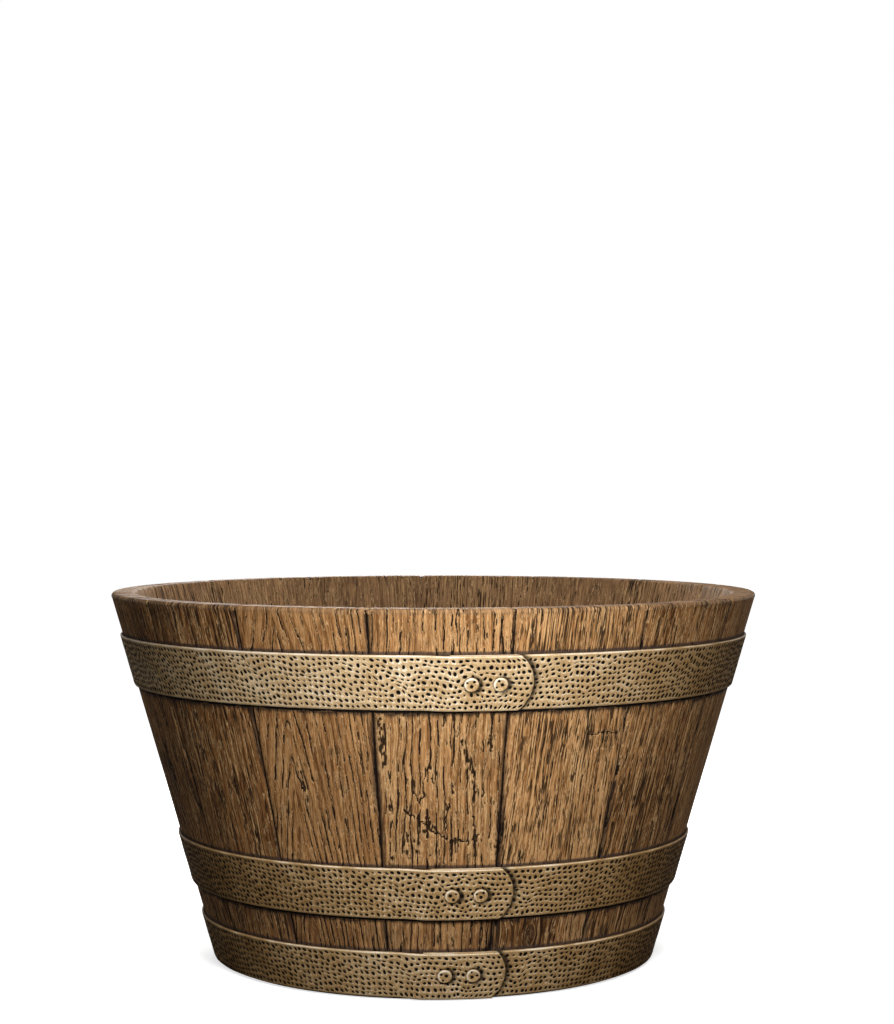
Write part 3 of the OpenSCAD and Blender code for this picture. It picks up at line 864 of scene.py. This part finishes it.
def hoop(name, material, seed):
    """One hoop: a closed mesh of its strip with a cell of faces round each pit."""
    strip = Strip(name)
    rng = np.random.default_rng(seed)
    n_rows = round((strip.width - 2 * BORDER) / PIT_PITCH)
    row_h = (strip.width - 2 * BORDER) / n_rows
    last = 2 * round(strip.length / PIT_PITCH)
    lattice = np.linspace(0, strip.length, last + 1)
    free = (lattice > 0) & (lattice < strip.length)
    points = Points()
    edge_rows = (
        # across, height, and how light the edge is: partly wear, partly painted highlight, brighter on the
        # upper edge
        (0.0, 0.0, 0.0), (0.0, HOOP_T - EDGE_R, 0.3), (0.3 * EDGE_R, HOOP_T - 0.3 * EDGE_R, 1.0),
        (EDGE_R, HOOP_T, 0.4),
    )
    upper = [points.add(lattice, t, h, 0, e) for t, h, e in edge_rows]
    lines = []
    for j in range(n_rows + 1):
        sway = 0.25 if 0 < j < n_rows else 0.0
        along = lattice + free * rng.uniform(-0.3, 0.3, last + 1)
        across = BORDER + j * row_h + sway * rng.uniform(-1, 1, last + 1)
        lines.append(points.add(along, across, HOOP_T, 0, 0.1 if j == 0 else 0.0))
    lower = [points.add(lattice, strip.width - t, h, 0, 0.4 * e) for t, h, e in reversed(edge_rows)]
    inner = [points.add(lattice, BORDER + j * row_h, 0.0) for j in range(n_rows + 1)]
    quads, tris = [], []
    rows = upper + [lines[0], None, lines[-1]] + lower + inner[::-1] + [upper[0]]
    for first, second in zip(rows, rows[1:]):
        if first is not None and second is not None:
            quads.append(np.stack([first[:-1], second[:-1], second[1:], first[1:]], -1))
    side_points = []
    for j in range(n_rows):
        above, below = lines[j], lines[j + 1]
        first = np.arange(j % 2, last - 1, 2)
        middle_t = BORDER + (j + 0.5) * row_h
        sides = points.add(lattice[np.append(first, first[-1] + 2)], middle_t, HOOP_T)
        side_points.append(sides)
        ring = np.stack([above[first], above[first + 1], above[first + 2], sides[1:],
                         below[first + 2], below[first + 1], below[first], sides[:-1]], -1)
        row_quads, row_tris = pit_row(points, strip, rng, ring, lattice[first + 1][:, None], middle_t)
        quads.append(row_quads)
        tris.append(row_tris)
        if j % 2 == 0:
            continue
        # A row that starts half a cell in is closed with triangles at either end
        for end, (line_0, line_1, side) in enumerate(((0, 1, sides[0]), (last, last - 1, sides[-1]))):
            fan = [(above[line_0], below[line_0], side), (above[line_0], side, above[line_1]),
                   (below[line_0], below[line_1], side)]
            tris.append([f if end == 0 else f[::-1] for f in fan])
    caps = [cap for end in (0, -1) for cap in strip_end(end, upper, lines, side_points, lower, inner)]
    along, across, height, pit, edge = points.all()
    azimuth = strip.start + along / strip.mid_r
    sway_along, sway_across = hoop_sway(strip, along, across, height, seed)
    outer_face = np.clip((height - HOOP_T + EDGE_R) / EDGE_R, 0, 1)
    height = height - outer_face * (0.12 + 0.12 * noise(along / 9, across / 9, seed + 5))
    # The edges' lightness varies at random as wear and is painted brighter at the front and back as
    # highlight
    wear_and_highlight = (0.75 + 0.5 * noise(along / 11, across / 40, seed + 6)) * (0.6 + 0.4 * np.cos(azimuth) ** 2)
    attributes = {
        "pit": pit,
        "edge": edge * wear_and_highlight,
        "strip": np.stack([along, across, np.full_like(along, 7.0 * seed)], -1),
        "grime": hoop_painted_shadows(strip, along + sway_along, across + sway_across, seed),
        "tone": hoop_tone(name, azimuth),
    }
    place = strip.place(along + sway_along, across + sway_across, height)
    piece = make_mesh(
        name + "_pitted", place, np.concatenate(quads), np.concatenate(tris), attributes, material, caps
    )
    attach(piece, "root")
    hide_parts(name)


def hoop_sway(strip, along, across, height, seed):
    """How far the hoop's points are slid along it and across it, so that its pits don't lie in straight
    rows. At the sides each leaning row is slid by its own amount, and near the laps and at the back
    the pits only wander. The strip's ends, its long edges and its inner face stay where they are."""
    lean = lean_of(strip.start + along / strip.mid_r)
    edge_near = np.minimum(across, strip.width - across) - BORDER
    loose = step_up(along, 0, END_REACH) * step_up(strip.length - along, 0, END_REACH) * (height > 0.01)
    row_at = (ROW_COS * along + ROW_SIN * lean * across) / (ROW_COS * PIT_PITCH)
    slide = 2.0 * np.abs(lean) * noise(row_at, across / 60, seed + 3) * step_up(edge_near, 0, 7) * loose
    wander = (1.15 - 0.55 * np.abs(lean)) * step_up(edge_near, -0.3, 3.5) * loose
    drift = (2.6 - 0.9 * np.abs(lean)) * step_up(edge_near, 0, 8) * loose
    sway_along = wander * noise(along / 5.1, across / 5.3, seed + 9) - ROW_SIN * lean * slide
    sway_across = wander * noise(along / 5.3, across / 5.1, seed + 10) + ROW_COS * slide
    sway_across += drift * noise(along / 11, across / 14, seed + 11)
    sway_along -= 0.5 * lean * (across - strip.flat / 2) * loose
    return sway_along, sway_across


def hoop_painted_shadows(strip, along, across, seed):
    """Black painted shadow on a hoop: beside the step at its lap's end, round its rivets and along its lower
    edge.
    """
    nose_gap = along - (strip.length - strip.turn) + strip.cut_back(across)
    grime = np.where(nose_gap > -1.5, np.exp(-np.clip(nose_gap - 3.2, 0, None) / 1.2), 0)
    # Each rivet's painted shadow is offset along the strip and downwards
    for k in range(2):
        gap = np.hypot(along - strip.rivet_at(k) - 2.2, across - strip.flat / 2 - 0.7) - RIVET_HEAD_R
        grime = np.maximum(grime, 1 - step_up(gap, 0.9, 2.2))
    low = np.exp(-np.clip(strip.width - across, 0, None) / 1.1) * 0.8
    return np.maximum(grime, low * (0.7 + 0.3 * noise(along / 6, across / 6, seed + 8)))


# ---- Rivets ----

RIVET_RINGS = (
    # radius, height, and how light: partly wear, partly painted highlight
    (0.8, 1.35, 0.0), (1.6, 1.35, 0.0), (2.4, 1.35, 0.0), (3.2, 1.4, 0.1), (3.9, 1.58, 0.5),
    (4.5, 1.76, 1.0), (4.95, 1.78, 1.0), (5.3, 1.6, 0.7), (5.55, 1.25, 0.3), (5.7, 0.8, 0.1),
    (5.75, 0.3, 0.0), (5.7, -0.05, 0.0), (2.5, -0.1, 0.0), (2.5, -2.4, 0.0), (2.5, -4.1, 0.0),
)
RIVET_PITS = ((1.3, 1.35), (3.2, 1.1), (3.7, 0.85))     # distance from the head's middle, and radius
RIVET_SPOKES = 40


def rivets(hoop_name, material, seed):
    """The two rivets of one lap: dished heads with a raised rim and a few pits, and their shanks."""
    strip = Strip(hoop_name)
    rng = np.random.default_rng(seed)
    radius, height, bright = np.array(RIVET_RINGS).T
    turn = np.arange(RIVET_SPOKES) / RIVET_SPOKES * 2 * math.pi
    points, quads, tris = [], [], []
    pits, edges, skirt_shadows = [], [], []
    for k in range(2):
        x = np.append((radius[:, None] * np.cos(turn)).ravel(), [0, 0])
        y = np.append((radius[:, None] * np.sin(turn)).ravel(), [0, 0])
        h = np.append(np.repeat(height, RIVET_SPOKES), [height[0], height[-1]])
        edge = np.append(np.repeat(bright, RIVET_SPOKES), [0.1, 0])
        head = h > 0.3
        pit = np.zeros_like(x)
        turned = rng.uniform(0, 6.28) + np.array([0.0, 2.3, 4.1])
        for (out, pit_r), angle in zip(RIVET_PITS, turned):
            gap = np.hypot(x - out * np.cos(angle), y - out * np.sin(angle))
            pit = np.maximum(pit, 1 - step_up(gap, 0.7 * pit_r, 1.3 * pit_r))
        h = h - head * (0.55 * pit + 0.12 * noise(x / 1.6 + 9 * k, y / 1.6, seed))
        start = k * len(x)
        points.append(strip.place(strip.rivet_at(k) + x, strip.flat / 2 - y, HOOP_T - 0.05 + h))
        rings = start + np.arange(len(radius) * RIVET_SPOKES).reshape(len(radius), -1)
        quads.append(ring_of_faces(rings[:-1], rings[1:]))
        top, tail = start + len(x) - 2, start + len(x) - 1
        for ring, middle, way in ((rings[0], top, 1), (rings[-1], tail, -1)):
            fan = np.stack([np.full(RIVET_SPOKES, middle), ring, np.roll(ring, -1)], -1)
            tris.append(fan[:, ::way])
        pits.append(pit * head)
        # Painted shadow round the foot of each head
        skirt_shadows.append((h < 0.9) * 0.9)
        # The rim is painted lighter towards the upper left: painted highlight
        edges.append(edge * (0.5 + 0.55 * np.cos(np.arctan2(y, x) - math.radians(130))))
    place = np.concatenate(points)
    attributes = {
        "pit": np.concatenate(pits),
        "edge": np.concatenate(edges),
        "grime": np.concatenate(skirt_shadows),
        "strip": place * (1, 0, 1) + (0, seed, 0),
        "tone": np.full(len(place), HOOP_TONES[hoop_name][0] - 0.04),
    }
    piece = make_mesh(
        hoop_name + "_riveted", place, np.concatenate(quads), np.concatenate(tris), attributes, material
    )
    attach(piece, "root")
    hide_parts(hoop_name + "_rivets")


# ---- Putting it together ----

wood = stave_wood()
seams = seam_azimuths()
for number, (start, end) in enumerate(zip(seams, seams[1:])):
    stave(number, start, end, wood)
bronze = hoop_bronze()
for seed, hoop_name in enumerate(HOOP_TOPS, 1):
    hoop(hoop_name, bronze, seed)
    rivets(hoop_name, bronze, seed + 40)
boards = head_wood()
for number in range(1, 6):
    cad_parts[f"head_board_{number}"].material_slots[0].material = boards
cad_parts["head_dowels"].material_slots[0].material = boards

# ---- Floor, light and camera ----

WALL_R = 0.23               # the tub's middle radius, in metres
AMBIENT = 0.04              # the world's even light


def soft_light(name, azimuth, distance, height, size, level, aim_z=0.16):
    """A soft lamp. level 1 lights the wall nearest to it so that a colour renders as it is written."""
    lamp = bpy.data.lights.new(name, "AREA")
    lamp.shape = "RECTANGLE"
    lamp.size, lamp.size_y = size
    turn = math.radians(azimuth)
    piece = add_object(name, lamp)
    piece.location = (distance * math.sin(turn), -distance * math.cos(turn), height)
    gap = math.hypot(distance - WALL_R, height - aim_z)
    lamp.energy = level * math.pi**2 * gap**2
    reach = math.hypot(distance, height - aim_z)
    piece.rotation_euler = (math.acos((height - aim_z) / reach), 0, turn)
    piece.visible_camera = False


def pale_floor():
    """A pale floor that takes the tub's shadow and fades to white away from it, for the camera alone."""
    material, shade = new_material("pale_floor")
    camera_sees = shade.node("LightPath", None, None, "Is Camera Ray")
    place = shade.node("TexCoord", None, None, "Object")
    far = shade.node("VectorMath", {"operation": "LENGTH"}, {0: place}, "Value").between(0.35, 1.1)
    grey = shade.coated(srgb(130, 130, 130), (camera_sees, srgb(250, 250, 250)))
    lit = shade.node("BsdfDiffuse", None, {"Color": grey})
    strength = camera_sees * (0.72 + far * 0.3)
    glow = shade.node("Emission", None, {"Color": srgb(255, 255, 255), "Strength": strength})
    shade.node("OutputMaterial", None, {"Surface": shade.node("AddShader", None, {0: lit, 1: glow})})
    floor_mesh = bpy.data.meshes.new("floor")
    floor_mesh.from_pydata([(-8, -8, 0), (8, -8, 0), (8, 8, 0), (-8, 8, 0)], [], [(0, 1, 2, 3)])
    floor_mesh.materials.append(material)
    floor = add_object("floor", floor_mesh)


def pale_world():
    """Weak even light on the object, and white wherever the camera or a reflection sees the world."""
    world = bpy.data.worlds.new("studio")
    world.use_nodes = True
    world.node_tree.nodes.clear()
    shade = Shade(world.node_tree)
    rays = ("Is Camera Ray", "Is Glossy Ray", "Is Transmission Ray")
    camera, glossy, through = (shade.node("LightPath", None, None, ray) for ray in rays)
    strength = (camera + glossy + through).clipped() * (1 - AMBIENT) + AMBIENT
    sky = shade.node("Background", None, {"Color": (1, 1, 1, 1), "Strength": strength})
    shade.node("OutputWorld", None, {"Surface": sky})
    bpy.context.scene.world = world


pale_floor()
pale_world()
soft_light("front_light", 5, 0.76, 0.45, (0.2, 0.2), 1.18)
soft_light("back_light", 188, 1.1, 0.6, (0.5, 0.4), 0.9)
soft_light("left_light", -130, 1.6, 0.7, (0.6, 0.5), 0.05)
soft_light("right_light", 130, 1.6, 0.7, (0.6, 0.5), 0.21)
soft_light("top_light", 0, 0.3, 1.7, (0.8, 0.8), 0.3, 0.3)

view = bpy.data.cameras.new("photo_view")
view.lens = 79.54
view.sensor_width = 36
view.clip_start = 0.05
camera = add_object("photo_view", view)
camera.location = (0, -1.9668, 0.4176)
camera.rotation_euler = (math.radians(90 - 1.028), 0, math.radians(-0.342))
bpy.context.scene.camera = camera

bpy.context.scene.view_settings.view_transform = "Standard"
